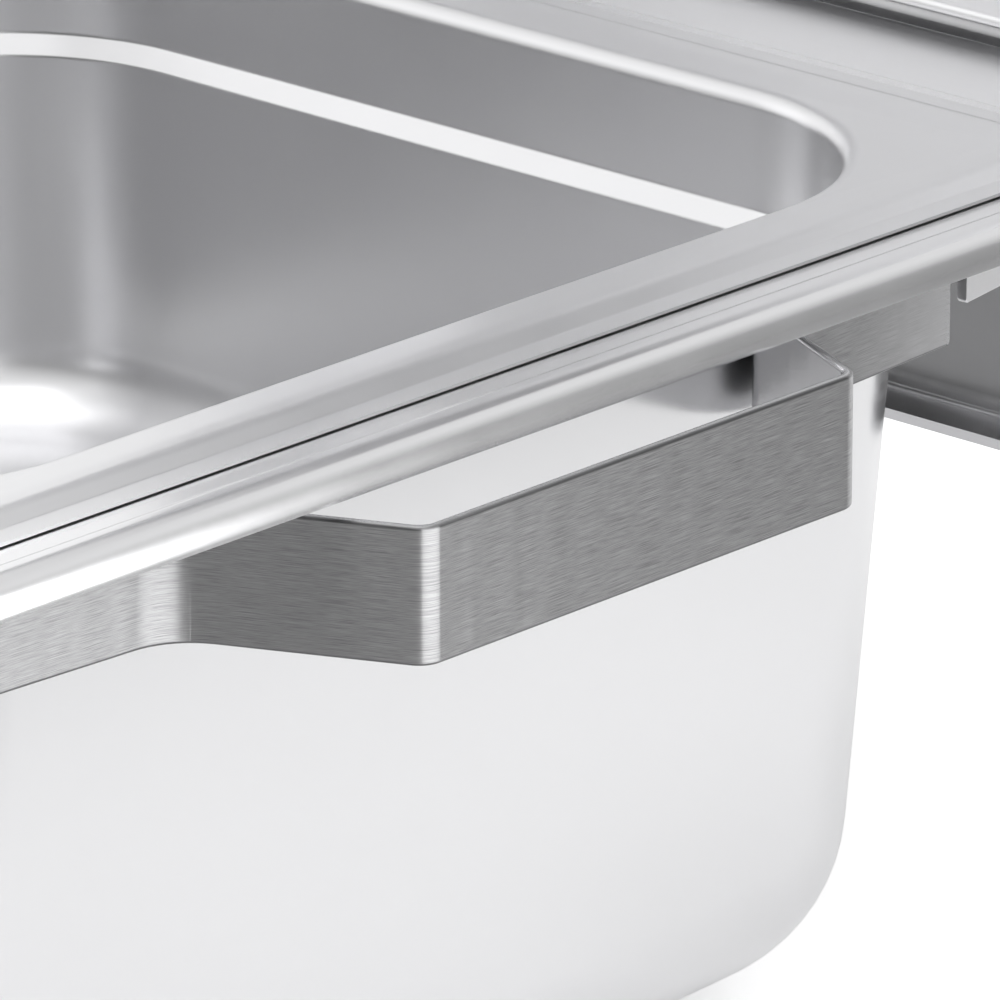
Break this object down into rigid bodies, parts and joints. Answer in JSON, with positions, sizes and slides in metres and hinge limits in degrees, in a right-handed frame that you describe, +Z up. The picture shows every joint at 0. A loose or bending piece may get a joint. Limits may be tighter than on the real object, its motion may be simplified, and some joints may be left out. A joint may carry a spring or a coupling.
{
  "type": "chafing dish",
  "caption": "Rectangular stainless chafing dish: water pan with wide rolled rim, lift-out food pan, strap handles and a rear-hinged lid standing open.",
  "frame": {"origin": "middle of the underside of the heating plate, which is the middle of the water pan in plan", "axes": "+Z up, -Y towards the front edge of the lid, +Y towards the hinge, +X and -X towards the two side handles"},
  "size_m": [0.3456, 0.4806, 0.5304],
  "materials": {
    "pan_steel": "satin polished stainless steel",
    "body_steel": "satin polished stainless steel",
    "lid_steel": "satin polished stainless steel",
    "strap_steel": "brushed along its length",
    "plate_steel": "brushed",
    "hinge_steel": "satin",
    "polished_steel": "polished",
    "soft_black": "matte silicone"
  },
  "bodies": {
    "base": {"water_pan": "body_steel", "heating_plate": "plate_steel", "side_handle_right": "strap_steel", "side_handle_left": "strap_steel", "hinge_channel": "hinge_steel", "hinge_ear_right": "hinge_steel", "hinge_ear_left": "hinge_steel", "hinge_stay_right": "hinge_steel", "hinge_stay_left": "hinge_steel", "bearing_right_outer": "hinge_steel", "bearing_right_inner": "hinge_steel", "bearing_left_outer": "hinge_steel", "bearing_left_inner": "hinge_steel", "hinge_axle": "polished_steel", "axle_caps": "polished_steel", "stop_pads": "soft_black"},
    "food_pan": {"food_pan": "pan_steel"},
    "lid": {"lid_shell": "lid_steel", "lid_handle": "strap_steel", "lid_handle_screws": "polished_steel", "hinge_leaf": "hinge_steel", "hinge_knuckle_right": "hinge_steel", "hinge_knuckle_left": "hinge_steel", "hinge_leaf_screws": "polished_steel", "lid_buffers": "soft_black"}
  },
  "joints": [
    {"name": "lid_hinge", "type": "hinge", "parent": "base", "child": "lid", "pos_m": [0, 0.182, 0.152], "axis": [1, 0, 0], "range_deg": [0, 96]},
    {"name": "food_pan_lift", "type": "slide", "parent": "base", "child": "food_pan", "axis": [0, 0, 1], "range_m": [0, 0.028]}
  ]
}
